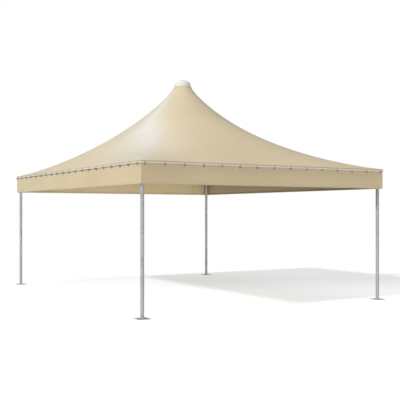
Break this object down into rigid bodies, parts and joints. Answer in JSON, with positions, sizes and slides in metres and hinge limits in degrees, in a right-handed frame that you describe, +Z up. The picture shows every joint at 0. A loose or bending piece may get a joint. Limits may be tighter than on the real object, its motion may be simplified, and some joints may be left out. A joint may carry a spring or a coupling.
{
  "type": "marquee tent",
  "caption": "High-peak marquee tent: a curved membrane roof with straight valances on four tubular posts, a cable-carried mast and a small domed cap.",
  "frame": {"origin": "on the ground, under the middle of the mast and midway between the four posts", "axes": "+Z up, +X along the 5 m sides towards the right, +Y along the 6 m sides towards the back"},
  "size_m": [5.062, 6.062, 4.2743],
  "materials": {
    "galvanised_steel": "hot-dip galvanised, dull grey",
    "wire_rope": "galvanised stranded wire",
    "coated_membrane": "satin coated sand-coloured membrane",
    "rail": "light galvanised",
    "cap": "white, semi-gloss"
  },
  "bodies": {
    "root": {"base_plate_front_left": "galvanised_steel", "base_plate_front_right": "galvanised_steel", "base_plate_back_left": "galvanised_steel", "base_plate_back_right": "galvanised_steel", "post_front_left": "galvanised_steel", "post_front_right": "galvanised_steel", "post_back_left": "galvanised_steel", "post_back_right": "galvanised_steel", "corner_fitting_front_left": "galvanised_steel", "corner_fitting_front_right": "galvanised_steel", "corner_fitting_back_left": "galvanised_steel", "corner_fitting_back_right": "galvanised_steel", "eave_beam_front": "galvanised_steel", "eave_beam_back": "galvanised_steel", "eave_beam_left": "galvanised_steel", "eave_beam_right": "galvanised_steel", "turnbuckle_front_left": "galvanised_steel", "turnbuckle_front_right": "galvanised_steel", "turnbuckle_back_left": "galvanised_steel", "turnbuckle_back_right": "galvanised_steel", "cable_front_left": "wire_rope", "cable_front_right": "wire_rope", "cable_back_left": "wire_rope", "cable_back_right": "wire_rope", "mast": "galvanised_steel", "mast_foot": "galvanised_steel", "mast_head": "galvanised_steel", "gore_front_left": "coated_membrane", "gore_front_right": "coated_membrane", "gore_right_front": "coated_membrane", "gore_right_back": "coated_membrane", "gore_back_right": "coated_membrane", "gore_back_left": "coated_membrane", "gore_left_back": "coated_membrane", "gore_left_front": "coated_membrane", "valance_front": "coated_membrane", "valance_back": "coated_membrane", "valance_left": "coated_membrane", "valance_right": "coated_membrane", "rail_front": "rail", "rail_right": "rail", "rail_back": "rail", "rail_left": "rail", "cap": "cap"}
  },
  "joints": []
}
